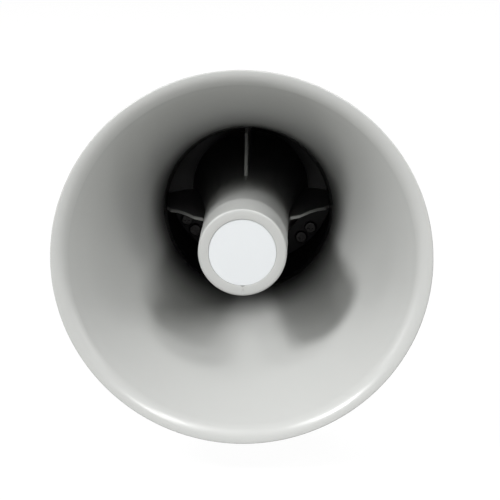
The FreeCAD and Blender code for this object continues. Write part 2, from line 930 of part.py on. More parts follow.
def surround():
    """The diaphragm's half-roll surround, with the bead that is clamped."""
    inner = dome_radius + dome_collar_width + cap_fit
    clamp = surround_clamp_radius
    front = dome_edge_depth
    back = front + surround_thickness
    middle = (inner + clamp) / 2
    bead_front = driver_cover_end + cap_fit
    bead_back = bead_front + surround_bead_height
    edges = [
        arc((inner, front), (middle, front + surround_roll), (clamp, front)),
        line((clamp, front), (clamp, bead_front)),
        line((clamp, bead_front), (bead_radius, bead_front)),
        line((bead_radius, bead_front), (bead_radius, bead_back)),
        line((bead_radius, bead_back), (clamp, back)),
        arc((clamp, back), (middle, back + surround_roll), (inner, back)),
        line((inner, back), (inner, front)),
    ]
    return turned(edges)


def plate_screw_holes(front, back, radius):
    """Holes for the long screws, from one depth to another."""
    holes = []
    for angle in plate_screw_angles():
        holes.append(disc(radius, front, back, at_angle(plate_screw_circle, angle, front)))
    return holes


def clamp_ring():
    """The ring that clamps the surround's bead against the driver's cover."""
    bead_outer = bead_radius + cap_fit
    step = driver_cover_end + surround_bead_height + 2 * cap_fit
    body = ring(clamp_ring_radius, bead_outer, driver_cover_end, top_plate_front)
    seat = ring(bead_outer, surround_clamp_radius + clamp_seat_gap, step, top_plate_front)
    holes = plate_screw_holes(driver_cover_end, top_plate_front, plate_screw_radius + hole_clearance)
    return cut_all(fused(body, [seat]), holes)


def top_plate():
    """The magnet's front plate, which closes the magnetic gap round the coil."""
    gap_radius = winding_radius + coil_gap
    plate = ring(top_plate_radius, gap_radius, top_plate_front, magnet_front)
    holes = plate_screw_holes(top_plate_front, magnet_front, plate_screw_radius + thread_clearance)
    return cut_all(plate, holes)


def magnet_ring():
    """The ferrite ring magnet."""
    outer = magnet_outer_radius
    bevel = magnet_bevel
    outline = [
        (magnet_inner_radius, magnet_front),
        (outer - bevel, magnet_front),
        (outer, magnet_front + bevel),
        (outer, back_plate_front - bevel),
        (outer - bevel, back_plate_front),
        (magnet_inner_radius, back_plate_front),
    ]
    return turned_outline(outline)


def back_plate():
    """The magnet's back plate and its pole, turned from one piece."""
    pole_front = top_plate_front + pole_recess
    outline = [
        (0, pole_front),
        (pole_radius, pole_front),
        (pole_radius, back_plate_front),
        (top_plate_radius, back_plate_front),
        (top_plate_radius, driver_back),
        (0, driver_back),
    ]
    return turned_outline(outline)


def tab_feet():
    """Where each solder tab's base starts in the driver cover, and the way that it points."""
    feet = []
    depth = driver_cover_end - 2 * tab_base_radius
    for angle in tab_angles:
        foot = at_angle(driver_radius - tab_base_sink, angle, depth)
        feet.append((foot, (foot - at_angle(0, angle, depth)).normalize()))
    return feet


def tab_bases():
    """The moulded bases that carry the driver's solder tabs."""
    bases = []
    for foot, outward in tab_feet():
        bases.append(Part.makeCylinder(tab_base_radius, tab_base_sink + tab_base_height, foot, outward))
    return Part.makeCompound(bases)


def driver_tabs():
    """The driver's two solder tabs, standing on their bases."""
    tabs = []
    start = driver_radius + tab_base_height
    depth = driver_cover_end - 2 * tab_base_radius - tab_width / 2
    half = tab_thickness / 2
    for angle in tab_angles:
        tab = block(start, start + tab_length, -half, half, depth, depth + tab_width)
        tab.rotate(PIVOT, HORN_AXIS, angle)
        tabs.append(tab)
    return Part.makeCompound(tabs)


def lead(points):
    """A wire that runs straight between bends, each as large as its two runs allow."""
    edges = []
    start = points[0]
    for before, corner, after in zip(points, points[1:], points[2:]):
        inward = corner - before
        outward = after - corner
        turn = inward.getAngle(outward)
        reach = lead_arc_share * min(inward.Length, outward.Length)
        inward.normalize()
        outward.normalize()
        bend = reach / math.tan(turn / 2)
        inside = (outward - inward).normalize()
        entry = corner - inward * reach
        leave = corner + outward * reach
        middle = corner + inside * (bend / math.cos(turn / 2) - bend)
        edges.append(Part.LineSegment(start, entry).toShape())
        edges.append(Part.Arc(entry, middle, leave).toShape())
        start = leave
    edges.append(Part.LineSegment(start, points[-1]).toShape())
    circle = Part.Circle(points[0], points[1] - points[0], lead_radius)
    section = Part.Wire(circle.toShape())
    return Part.Wire(edges).makePipeShell([section], True, False)


def entry_depth():
    """The depth of the terminal block's wire entries."""
    return cover_inside - block_depth + 1.5 * block_screw_height


def driver_leads():
    """The two wires from the driver's tabs to the terminal block, entered from below."""
    start = driver_cover_end - 2 * tab_base_radius + tab_width / 2
    turn = entry_depth() - lead_turn_gap
    low = -block_drop - block_height
    reach = driver_radius + tab_base_height + lead_tab_reach
    leads = []
    for angle, x in zip(tab_angles, block_ways_x()):
        points = [
            at_angle(reach, angle, start),
            at_angle(reach, angle, turn),
            beside(x, low - lead_entry_gap, entry_depth()),
            beside(x, low, entry_depth()),
        ]
        leads.append(lead(points))
    return Part.makeCompound(leads)


def transformer_leads():
    """The two wires from the transformer's winding to the terminal block, entered from above."""
    start = core_back() - core_stack - 2 * lead_radius
    low = transformer_height - coil_window / 2
    under_core = transformer_height - core_height / 2 - lead_core_gap
    high = -block_drop
    leads = []
    for x_start, x in zip((-winding_lead_spread, winding_lead_spread), block_ways_x()[1:]):
        points = [
            beside(x_start, low, start),
            beside(x_start, under_core, start),
            beside(x, high + lead_entry_gap / 2, entry_depth()),
            beside(x, high, entry_depth()),
        ]
        leads.append(lead(points))
    return Part.makeCompound(leads)


def rear_cover():
    """The cup that closes the driver compartment, with lugs and a hole for the gland."""
    collar_end = cover_front + rear_collar_length
    back = cover_back
    bow = cover_corner * (1 - math.sqrt(0.5))
    inner_corner = cover_corner - cover_wall
    inner_bow = inner_corner * (1 - math.sqrt(0.5))
    inner_back = cover_back_radius - cover_wall
    edges = [
        line((chamber_radius, cover_front), (rear_collar_radius, cover_front)),
        line((rear_collar_radius, cover_front), (rear_collar_radius, collar_end)),
        line((rear_collar_radius, collar_end), (body_radius, collar_end)),
        line((body_radius, collar_end), (cover_back_radius, back - cover_corner)),
        arc(
            (cover_back_radius, back - cover_corner),
            (cover_back_radius - bow, back - bow),
            (cover_back_radius - cover_corner, back),
        ),
        line((cover_back_radius - cover_corner, back), (0, back)),
        line((0, back), (0, cover_inside)),
        line((0, cover_inside), (inner_back - inner_corner, cover_inside)),
        arc(
            (inner_back - inner_corner, cover_inside),
            (inner_back - inner_bow, cover_inside - inner_bow),
            (inner_back, cover_inside - inner_corner),
        ),
        line((inner_back, cover_inside - inner_corner), (chamber_radius, collar_end)),
        line((chamber_radius, collar_end), (chamber_radius, cover_front)),
    ]
    shell = turned(edges)
    through = screw_radius + hole_clearance
    lug_end = cover_front + lug_length
    bodies, holes = lugs(cover_front, lug_end, through, cover_front, lug_end)
    gland_point = beside(0, -gland_drop, cover_inside)
    holes.append(disc(gland_thread_radius + gland_fit, cover_inside, cover_back, gland_point))
    bite_end = cover_inside + small_screw_bite
    for x in strap_screw_sides():
        point = beside(x, strap_middle(), cover_inside)
        holes.append(disc(small_screw_radius + thread_clearance, cover_inside, bite_end, point))
    return cut_all(fused(shell, bodies), holes)


def cover_gasket():
    """The flat seal under the rear cover."""
    return ring(rear_collar_radius, chamber_radius, body_end, cover_front)


def core_back():
    """The depth of the transformer core's rear face."""
    return cover_inside - (coil_depth - core_stack) / 2


def transformer_core():
    """The laminated core of the line transformer, a closed frame round its middle leg."""
    back = core_back()
    front = back - core_stack
    half = core_width / 2
    low = transformer_height - core_height / 2
    frame = block(-half, half, low, low + core_height, front, back)
    window = core_opening(front, back)
    return frame.cut(window)


def core_opening(front, back):
    """The two windows of the core, one each side of its middle leg."""
    half = coil_width / 2
    leg = core_leg / 2
    low = transformer_height - coil_window / 2
    high = transformer_height + coil_window / 2
    left = block(-half, -leg, low, high, front, back)
    right = block(leg, half, low, high, front, back)
    return Part.makeCompound([left, right])


def transformer_coil():
    """The transformer's wound bobbin, which fills the core's windows."""
    half = coil_width / 2
    low = transformer_height - coil_window / 2
    high = transformer_height + coil_window / 2
    back = cover_inside
    front = back - coil_depth
    winding = block(-half, half, low, high, front, back)
    upright = [edge for edge in winding.Edges if abs(edge.tangentAt(edge.FirstParameter).z) > 0.9]
    winding = winding.makeFillet(coil_corner, upright)
    leg = core_leg / 2
    middle_leg = block(-leg, leg, low, high, core_back() - core_stack, core_back())
    return winding.cut(middle_leg)


def strap_middle():
    """The height of the strap's middle above the horn's axis, over the core's upper yoke."""
    return transformer_height + core_height / 2 - strap_width / 2


def strap_screw_sides():
    """The two x positions of the strap's screws."""
    reach = strap_reach - strap_foot / 2
    return (-reach, reach)


def transformer_strap():
    """The folded steel strap that holds the transformer to the cover."""
    low = strap_middle() - strap_width / 2
    high = low + strap_width
    front = core_back() - core_stack
    foot_front = cover_inside - strap_thickness
    half = core_width / 2
    outside = half + strap_thickness
    top = block(-outside, outside, low, high, front - strap_thickness, front)
    pieces = []
    for side in (-1, 1):
        inner, outer = sorted((side * half, side * outside))
        pieces.append(block(inner, outer, low, high, front, cover_inside))
        inner, outer = sorted((side * outside, side * (outside + strap_foot)))
        pieces.append(block(inner, outer, low, high, foot_front, cover_inside))
    holes = []
    for x in strap_screw_sides():
        point = beside(x, strap_middle(), foot_front)
        holes.append(disc(small_screw_radius + hole_clearance, foot_front, cover_inside, point))
    return cut_all(fused(top, pieces), holes)


def strap_screws():
    """The two screws of the transformer's strap."""
    screws = []
    for x in strap_screw_sides():
        point = beside(x, strap_middle(), cover_inside - strap_thickness)
        length = strap_thickness + small_screw_bite
        screws.append(
            screw(
                point, HORN_AXIS, length, small_screw_radius, small_screw_head_radius, small_screw_head_height,
            )
        )
    return Part.makeCompound(screws)


def block_ways_x():
    """The x position of each way of the terminal block."""
    return [block_left + block_pitch * (way + 0.5) for way in range(block_ways)]


def terminal_block():
    """The moulded terminal block, with a screw well and a wire entry for each way."""
    back = cover_inside
    front = back - block_depth
    low = -block_drop - block_height
    body = block(block_left, block_left + block_width, low, -block_drop, front, back)
    holes = []
    for x in block_ways_x():
        well = beside(x, low + block_height / 2, front)
        holes.append(disc(block_screw_radius + hole_clearance, front, front + 2 * block_screw_height, well))
        entry = beside(x, low, entry_depth())
        up = FreeCAD.Vector(0, 0, 1)
        holes.append(Part.makeCylinder(block_entry_radius, block_height, entry, up))
    return cut_all(body, holes)


def terminal_screws():
    """The clamping screws of the terminal block."""
    screws = []
    front = cover_inside - block_depth
    middle = -block_drop - block_height / 2
    for x in block_ways_x():
        top = front + block_screw_height / 4
        body = disc(block_screw_radius, top, top + block_screw_height, beside(x, middle, top))
        half = recess_width / 3
        reach = block_screw_radius * 2
        slot = block(x - reach, x + reach, middle - half, middle + half, top, top + 2 * half)
        screws.append(body.cut(slot))
    return Part.makeCompound(screws)


def gland_centre(depth):
    """A point on the cable gland's axis."""
    return beside(0, -gland_drop, depth)


def gland_ring(outer, inner, front, back):
    """A ring on the cable gland's axis."""
    centre = gland_centre(front)
    return disc(outer, front, back, centre).cut(disc(inner, front, back, centre))


def gland_body():
    """The gland's body: a thread through the cover, a hexagon and a neck for the nut."""
    flange_end = cover_back + gland_flange
    inside = cover_inside - locknut_thickness - gland_thread_end
    neck_end = flange_end + gland_neck_length
    nut = hexagon(gland_hex, gland_flange, gland_centre(cover_back), HORN_AXIS)
    thread = disc(gland_thread_radius, inside, cover_back, gland_centre(inside))
    neck = disc(gland_neck_radius, flange_end, neck_end, gland_centre(flange_end))
    bore = disc(gland_bore_radius, inside, neck_end, gland_centre(inside))
    return fused(nut, [thread, neck]).cut(bore)


def gland_locknut():
    """The nut that holds the gland from inside the cover."""
    front = cover_inside - locknut_thickness
    nut = hexagon(locknut_hex, locknut_thickness, gland_centre(front), HORN_AXIS)
    hole = disc(gland_thread_radius + thread_clearance, front, cover_inside, gland_centre(front))
    return nut.cut(hole)


def gland_seal():
    """The rubber sleeve that grips the cable."""
    front = cover_back + gland_flange + gland_neck_length
    outer = gland_neck_radius - gland_seal_fit
    return gland_ring(outer, gland_cable_radius, front, front + gland_seal_length)


def gland_nut():
    """The gland's domed cap nut, hexagonal at its root."""
    front = cover_back + gland_flange + gland_nut_gap
    pocket_end = cover_back + gland_flange + gland_neck_length + gland_seal_length
    end = pocket_end + gland_nut_end
    dome_height = (end - front) / 3
    solid = disc(gland_nut_radius - gland_nut_step, front, end, gland_centre(front))
    edge = [item for item in solid.Edges if abs(item.CenterOfMass.y - (end - pivot_depth)) < 0.01]
    solid = solid.makeFillet(dome_height * gland_nut_round_share, edge)
    root = hexagon(gland_nut_hex, gland_nut_hex_length, gland_centre(front), HORN_AXIS)
    solid = solid.fuse(root)
    pocket = disc(gland_neck_radius + thread_clearance, front, pocket_end, gland_centre(front))
    mouth = disc(gland_nut_mouth, pocket_end, end, gland_centre(pocket_end))
    return solid.cut(pocket.fuse(mouth))


def pivot_inserts():
    """The threaded brass inserts in the body's bosses."""
    inserts = []
    for side in (-1, 1):
        base = boss_point(side, boss_face - insert_length)
        outward = X_AXIS * side
        sleeve = Part.makeCylinder(insert_radius, insert_length, base, outward)
        bore = Part.makeCylinder(bolt_radius + thread_clearance, insert_length, base, outward)
        inserts.append(sleeve.cut(bore))
    return Part.makeCompound(inserts)


def side_washers(face, radius, thickness):
    """A washer on each side, on the pivot's axis."""
    washers = []
    for side in (-1, 1):
        base = boss_point(side, face)
        outward = X_AXIS * side
        plate = Part.makeCylinder(radius, thickness, base, outward)
        hole = Part.makeCylinder(bolt_radius + hole_clearance, thickness, base, outward)
        washers.append(plate.cut(hole))
    return Part.makeCompound(washers)


def friction_washers():
    """The fibre washers between the body and the bracket's ears."""
    return side_washers(boss_face, friction_washer_radius, friction_washer_thickness)


def pivot_washers():
    """The plain washers under the bolts' heads."""
    return side_washers(ear_outer + side_clearance, washer_radius, washer_thickness)


def pivot_bolts():
    """The two hexagon bolts that clamp the bracket and carry the horn."""
    bolts = []
    underside = ear_outer + side_clearance + washer_thickness
    tip_x = boss_face - insert_length + bolt_end_gap
    for side in (-1, 1):
        outward = X_AXIS * side
        base = boss_point(side, underside)
        head = hexagon(bolt_hex, bolt_head_height, base, outward)
        tip = boss_point(side, tip_x)
        shank = Part.makeCylinder(bolt_radius, underside - tip_x, tip, outward)
        bolts.append(head.fuse(shank))
    return Part.makeCompound(bolts)


def rounded_u(half, bottom, top, radius):
    """A face across the bracket, with its two lower corners rounded."""
    def point(x, z):
        return FreeCAD.Vector(x, -bracket_width / 2, z)

    bow = radius * (1 - math.sqrt(0.5))
    edges = [
        Part.LineSegment(point(-half, top), point(-half, bottom + radius)).toShape(),
        Part.Arc(
            point(-half, bottom + radius), point(bow - half, bottom + bow), point(radius - half, bottom)
        ).toShape(),
        Part.LineSegment(point(radius - half, bottom), point(half - radius, bottom)).toShape(),
        Part.Arc(
            point(half - radius, bottom), point(half - bow, bottom + bow), point(half, bottom + radius)
        ).toShape(),
        Part.LineSegment(point(half, bottom + radius), point(half, top)).toShape(),
        Part.LineSegment(point(half, top), point(-half, top)).toShape(),
    ]
    return Part.Face(Part.Wire(Part.__sortEdges__(edges)))


def bracket():
    """The U-shaped bracket, folded from one strip, with round ears and a drilled foot."""
    top = pivot_height + bracket_width / 2
    outside = rounded_u(ear_outer, 0, top, bracket_bend + bracket_thickness)
    inside = rounded_u(ear_inner, bracket_thickness, top, bracket_bend)
    strip = outside.cut(inside).extrude(HORN_AXIS * bracket_width)
    half = bracket_width / 2
    trim = Part.makeBox(2 * ear_outer, bracket_width, pivot_height, FreeCAD.Vector(-ear_outer, -half, 0))
    across = FreeCAD.Vector(-ear_outer, 0, pivot_height)
    trim = trim.fuse(Part.makeCylinder(half, 2 * ear_outer, across, X_AXIS))
    strip = strip.common(trim)
    holes = [Part.makeCylinder(bolt_radius + running_clearance, 2 * ear_outer, across, X_AXIS)]
    up = FreeCAD.Vector(0, 0, 1)
    for x in (-foot_hole_spacing / 2, foot_hole_spacing / 2):
        base = FreeCAD.Vector(x, 0, 0)
        holes.append(Part.makeCylinder(foot_hole_radius, bracket_thickness, base, up))
    middle = FreeCAD.Vector(0, 0, 0)
    holes.append(Part.makeCylinder(foot_centre_radius, bracket_thickness, middle, up))
    return cut_all(strip, holes)


pieces = {
    "flare_horn": flare_horn,
    "flare_gasket": flare_gasket,
    "flare_screws": flare_screws,
    "centre_bell": centre_bell,
    "front_cap": front_cap,
    "cap_label": cap_label,
    "tone_tube": tone_tube,
    "throat_body": throat_body,
    "throat_screws": throat_screws,
    "driver_screws": driver_screws,
    "driver_gasket": driver_gasket,
    "driver_cover": driver_cover,
    "phase_plug": phase_plug,
    "diaphragm": diaphragm,
    "voice_coil": voice_coil,
    "surround": surround,
    "clamp_ring": clamp_ring,
    "plate_screws": plate_screws,
    "top_plate": top_plate,
    "magnet_ring": magnet_ring,
    "back_plate": back_plate,
    "tab_bases": tab_bases,
    "driver_tabs": driver_tabs,
    "driver_leads": driver_leads,
    "transformer_leads": transformer_leads,
    "rear_cover": rear_cover,
    "cover_gasket": cover_gasket,
    "cover_screws": cover_screws,
    "transformer_core": transformer_core,
    "transformer_coil": transformer_coil,
    "transformer_strap": transformer_strap,
    "strap_screws": strap_screws,
    "terminal_block": terminal_block,
    "terminal_screws": terminal_screws,
    "gland_body": gland_body,
    "gland_locknut": gland_locknut,
    "gland_seal": gland_seal,
    "gland_nut": gland_nut,
    "pivot_inserts": pivot_inserts,
    "friction_washers": friction_washers,
    "pivot_washers": pivot_washers,
    "pivot_bolts": pivot_bolts,
    "bracket": bracket,
}

os.makedirs("parts", exist_ok=True)
for name, make in pieces.items():
    make().exportStep("parts/" + name + ".step")
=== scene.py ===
import json
import math

import bmesh
import bpy
from mathutils import Matrix, Quaternion, Vector


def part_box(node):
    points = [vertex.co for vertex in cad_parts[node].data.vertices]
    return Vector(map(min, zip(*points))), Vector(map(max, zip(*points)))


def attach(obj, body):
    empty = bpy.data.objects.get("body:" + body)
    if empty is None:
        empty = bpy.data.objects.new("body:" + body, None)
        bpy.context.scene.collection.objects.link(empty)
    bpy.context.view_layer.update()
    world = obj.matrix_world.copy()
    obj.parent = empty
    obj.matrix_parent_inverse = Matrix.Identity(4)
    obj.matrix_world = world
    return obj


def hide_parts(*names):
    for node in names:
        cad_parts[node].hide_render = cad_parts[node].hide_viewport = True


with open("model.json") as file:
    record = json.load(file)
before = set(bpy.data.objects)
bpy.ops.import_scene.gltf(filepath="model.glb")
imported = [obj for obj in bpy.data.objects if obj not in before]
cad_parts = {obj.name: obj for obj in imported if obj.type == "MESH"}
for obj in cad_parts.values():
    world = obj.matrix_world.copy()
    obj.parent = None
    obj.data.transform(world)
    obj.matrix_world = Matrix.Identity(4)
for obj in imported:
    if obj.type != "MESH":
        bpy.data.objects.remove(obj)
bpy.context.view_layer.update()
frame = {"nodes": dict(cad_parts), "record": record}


# The camera. The photograph looks into the mouth from 13 degrees above the horn's axis and a
# little to its right, through a long lens held a degree off level, with the mouth a touch left
# of and above the middle. It stands so near that the lip hides the rear cover's lugs.
bell_low, bell_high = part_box("flare_horn")
mouth_centre = Vector((0, bell_low.y, (bell_low.z + bell_high.z) / 2))
camera_side = math.radians(1.77)
camera_height = math.radians(12.85)
camera_roll = math.radians(-1.1)
camera_distance = 1.8
sensor_width = 36.0
lens_length = 236.9
mouth_offset_right = 0.00478
mouth_offset_up = 0.00510
towards_camera = Vector((
    math.sin(camera_side) * math.cos(camera_height),
    -math.cos(camera_side) * math.cos(camera_height),
    math.sin(camera_height),
))
camera_right = Vector((math.cos(camera_side), math.sin(camera_side), 0))
camera_up = towards_camera.cross(camera_right)
looked_at = mouth_centre + camera_right * mouth_offset_right + camera_up * mouth_offset_up
camera_data = bpy.data.cameras.new("camera")
camera_data.sensor_width = sensor_width
camera_data.lens = lens_length
camera = bpy.data.objects.new("camera", camera_data)
camera.location = looked_at + towards_camera * camera_distance
camera.rotation_mode = "QUATERNION"
roll = Quaternion((0, 0, 1), camera_roll)
camera.rotation_quaternion = (-towards_camera).to_track_quat("-Z", "Y") @ roll
bpy.context.scene.collection.objects.link(camera)
bpy.context.scene.camera = camera


# The studio: a broad white floor that runs into a white world, so that nothing but the horn and
# its faint shadow shows. A small bright lamp stands high on the left and weaker ones high on the
# right, so the cap throws two soft shadows into the flare. Soft lamps light the sides and back.
def colour(code):
    """A linear colour from an sRGB code such as C8CAC5."""
    parts = [int(code[place:place + 2], 16) / 255 for place in (0, 2, 4)]
    linear = [part / 12.92 if part <= 0.04045 else ((part + 0.055) / 1.055) ** 2.4 for part in parts]
    return (*linear, 1.0)


def add_node(tree, kind, settings=None, links=None):
    """A shader node with its sockets or properties set, and its inputs joined to other sockets."""
    node = tree.nodes.new(kind)
    for name, value in (settings or {}).items():
        if name in node.inputs:
            node.inputs[name].default_value = value
        else:
            setattr(node, name, value)
    for name, source in (links or {}).items():
        tree.links.new(source, node.inputs[name])
    return node


def seen_rays(tree):
    """One for rays from the camera and for those seen in gloss or through glass, otherwise nought."""
    path = add_node(tree, "ShaderNodeLightPath")
    some = add_node(tree, "ShaderNodeMath", {"operation": "ADD"})
    tree.links.new(path.outputs["Is Camera Ray"], some.inputs[0])
    tree.links.new(path.outputs["Is Glossy Ray"], some.inputs[1])
    every = add_node(tree, "ShaderNodeMath", {"operation": "ADD", "use_clamp": True})
    tree.links.new(some.outputs[0], every.inputs[0])
    tree.links.new(path.outputs["Is Transmission Ray"], every.inputs[1])
    return every.outputs[0]


bpy.context.scene.view_settings.view_transform = "Standard"
ambient_strength = 0.03
floor_glow = 0.95
world = bpy.data.worlds.new("studio_world")
world.use_nodes = True
tree = world.node_tree
tree.nodes.clear()
ambient = add_node(tree, "ShaderNodeBackground", {"Color": colour("FFFFFF"), "Strength": ambient_strength})
backdrop = add_node(tree, "ShaderNodeBackground", {"Color": colour("FFFFFF"), "Strength": 1.0})
either = add_node(tree, "ShaderNodeMixShader", links={"Fac": seen_rays(tree)})
tree.links.new(ambient.outputs[0], either.inputs[1])
tree.links.new(backdrop.outputs[0], either.inputs[2])
add_node(tree, "ShaderNodeOutputWorld", links={"Surface": either.outputs[0]})
bpy.context.scene.world = world

floor_material = bpy.data.materials.new("painted_studio_floor")
floor_material.use_nodes = True
tree = floor_material.node_tree
tree.nodes.clear()
paint = add_node(tree, "ShaderNodeBsdfDiffuse", {"Color": colour("B4B4B2")})
faint_paint = add_node(tree, "ShaderNodeBsdfDiffuse", {"Color": colour("4E4E4E")})
white_glow = add_node(tree, "ShaderNodeEmission", {"Color": colour("FFFFFF"), "Strength": floor_glow})
seen_floor = add_node(tree, "ShaderNodeAddShader")
tree.links.new(faint_paint.outputs[0], seen_floor.inputs[0])
tree.links.new(white_glow.outputs[0], seen_floor.inputs[1])
either = add_node(tree, "ShaderNodeMixShader", links={"Fac": seen_rays(tree)})
tree.links.new(paint.outputs[0], either.inputs[1])
tree.links.new(seen_floor.outputs[0], either.inputs[2])
add_node(tree, "ShaderNodeOutputMaterial", links={"Surface": either.outputs[0]})
floor_half = 14.0
floor_drop = 0.0003
floor_mesh = bpy.data.meshes.new("floor")
shape = bmesh.new()
bmesh.ops.create_grid(
    shape, x_segments=1, y_segments=1, size=floor_half, matrix=Matrix.Translation((0, 0, -floor_drop)),
)
shape.to_mesh(floor_mesh)
shape.free()
floor_mesh.materials.append(floor_material)
floor = bpy.data.objects.new("floor", floor_mesh)
bpy.context.scene.collection.objects.link(floor)

lamp_distance = 1.9
for lamp_name, side, height, size, power in (
    ("left_key", -42.0, 36.0, 0.30, 22.8),
    ("left_high_lamp", -40.0, 50.0, 0.30, 5.0),
    ("right_key", 34.0, 36.0, 0.30, 8.8),
    ("right_high_lamp", 40.0, 50.0, 0.30, 7.6),
    ("left_softbox", -85.0, 15.0, 0.80, 5.5),
    ("right_softbox", 35.0, 60.0, 0.80, 4.7),
    ("overhead_softbox", 0.0, 65.0, 0.80, 1.5),
    ("right_edge_softbox", 85.0, 15.0, 0.80, 4.0),
    ("rear_left_fill", -145.0, 30.0, 1.20, 10.0),
    ("rear_right_fill", 145.0, 30.0, 1.20, 10.0),
):
    lamp_data = bpy.data.lights.new(lamp_name, "AREA")
    lamp_data.shape = "SQUARE"
    lamp_data.size = size
    lamp_data.energy = power
    lamp = bpy.data.objects.new(lamp_name, lamp_data)
    turn = math.radians(side)
    rise = math.radians(height)
    away = Vector((math.sin(turn) * math.cos(rise), -math.cos(turn) * math.cos(rise), math.sin(rise)))
    lamp.location = mouth_centre + away * lamp_distance
    lamp.rotation_euler = (-away).to_track_quat("-Z", "Y").to_euler()
    bpy.context.scene.collection.objects.link(lamp)


# The flare: one ABS moulding, an exponential horn with a turned-over lip in front and a flange
# behind, where four lugs take the screws. Pale grey ABS from a polished mould has a soft gloss,
# with broad dull highlights, and its grain only breaks their edges.
mm = 0.001
axis_height = mouth_centre.z
mouth_depth = mouth_centre.y


def on_axis(radius, depth):
    """The point above the horn's axis at a radius from it and a depth behind the mouth, in mm."""
    return Vector((0, mouth_depth + depth * mm, axis_height + radius * mm))


def turned(shape, outline, steps, rounded=()):
    """Turns a closed outline of (radius, depth) pairs round the axis, with some corners rounded first.

    An edge that lies on the axis is left out, so that the shape closes in a pole there.
    """
    corners = [shape.verts.new(on_axis(*pair)) for pair in outline]
    for place, corner in enumerate(corners):
        after = (place + 1) % len(corners)
        if outline[place][0] > 0 or outline[after][0] > 0:
            shape.edges.new((corner, corners[after]))
    for place, size in rounded:
        bmesh.ops.bevel(
            shape, geom=[corners[place]], offset=size * mm, offset_type="OFFSET", segments=4,
            profile=0.5, affect="VERTICES", material=-1,
        )
    ring = [edge for edge in shape.edges if edge.is_wire]
    loop = {vert for edge in ring for vert in edge.verts}
    bmesh.ops.spin(
        shape, geom=[*loop, *ring], cent=on_axis(0, 0), axis=(0, 1, 0), angle=math.tau,
        steps=steps, use_merge=True,
    )
    bmesh.ops.remove_doubles(shape, verts=shape.verts, dist=1e-7)
    bmesh.ops.recalc_face_normals(shape, faces=shape.faces)


def piece(name, shape, material, body, nodes, crease=35.0):
    """The finished object: smooth except at creases, riding on its body and standing for its solids."""
    mesh = bpy.data.meshes.new(name)
    shape.to_mesh(mesh)
    shape.free()
    mesh.shade_smooth()
    mesh.set_sharp_from_angle(angle=math.radians(crease))
    for each in material if isinstance(material, tuple) else (material,):
        mesh.materials.append(each)
    made = bpy.data.objects.new(name, mesh)
    bpy.context.scene.collection.objects.link(made)
    even = made.modifiers.new("even_normals", "WEIGHTED_NORMAL")
    even.keep_sharp = True
    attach(made, body)
    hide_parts(*nodes)
    return made


def plastic(name, code, roughness, ior, grain, depth, mottle, painted_throat_shade=None):
    """A moulded plastic: a faint grain in the skin, and slow changes of shade where it flowed.

    The grain's size and depth are in mm. A painted throat shade of (first depth, last depth, colour)
    turns the plastic to that darker colour down the throat: painted shade, where little light
    comes back out.
    """
    flow_size = 45.0
    gloss_spread = 0.08
    material = bpy.data.materials.new(name)
    material.use_nodes = True
    tree = material.node_tree
    tree.nodes.clear()
    place = add_node(tree, "ShaderNodeTexCoord").outputs["Object"]
    skin = add_node(
        tree, "ShaderNodeTexNoise", {"Scale": 1 / (grain * mm), "Detail": 2.0}, {"Vector": place},
    )
    flow = add_node(
        tree, "ShaderNodeTexNoise", {"Scale": 1 / (flow_size * mm), "Detail": 3.0}, {"Vector": place},
    )
    base = colour(code)
    darker = [part * (1 - mottle) for part in base[:3]]
    lighter = [part * (1 + mottle) for part in base[:3]]
    shade = add_node(tree, "ShaderNodeMix", {"data_type": "RGBA"})
    tree.links.new(flow.outputs["Fac"], shade.inputs["Factor"])
    colour_in = [socket for socket in shade.inputs if socket.type == "RGBA"]
    colour_in[0].default_value = (*darker, 1.0)
    colour_in[1].default_value = (*lighter, 1.0)
    mixed = [socket for socket in shade.outputs if socket.type == "RGBA"][0]
    if painted_throat_shade:
        first, last, deep = painted_throat_shade
        along = add_node(tree, "ShaderNodeSeparateXYZ", links={"Vector": place}).outputs["Y"]
        share = add_node(
            tree, "ShaderNodeMapRange",
            {
                "interpolation_type": "SMOOTHSTEP",
                "From Min": mouth_depth + first * mm,
                "From Max": mouth_depth + last * mm,
            },
            {"Value": along},
        )
        blend = add_node(tree, "ShaderNodeMix", {"data_type": "RGBA"}, {"Factor": share.outputs["Result"]})
        colour_in = [socket for socket in blend.inputs if socket.type == "RGBA"]
        tree.links.new(mixed, colour_in[0])
        colour_in[1].default_value = colour(deep)
        mixed = [socket for socket in blend.outputs if socket.type == "RGBA"][0]
    gloss = add_node(
        tree, "ShaderNodeMapRange",
        {"To Min": roughness * (1 - gloss_spread), "To Max": roughness * (1 + gloss_spread)},
        {"Value": skin.outputs["Fac"]},
    )
    bump = add_node(
        tree, "ShaderNodeBump", {"Strength": 1.0, "Distance": depth * mm}, {"Height": skin.outputs["Fac"]},
    )
    surface = add_node(
        tree, "ShaderNodeBsdfPrincipled", {"IOR": ior},
        {"Base Color": mixed, "Roughness": gloss.outputs["Result"], "Normal": bump.outputs["Normal"]},
    )
    add_node(tree, "ShaderNodeOutputMaterial", links={"Surface": surface.outputs[0]})
    return material


mouth_radius = 105.0
crease_radius = 94.8
crease_depth = 7.87
flare_depth = 135.0
flare_end_radius = 47.5
flare_wall = 2.8
flange_radius = 58.0
flange_front = 131.0
flare_rate = math.log(crease_radius / flare_end_radius) / (flare_depth - crease_depth)
groove_depth = 0.14
inner_steps = 36
outer_steps = 18
round_steps = 180


def flare_radius(depth):
    """The horn's inner radius at a depth, in millimetres."""
    return flare_end_radius * math.exp(flare_rate * (flare_depth - depth))


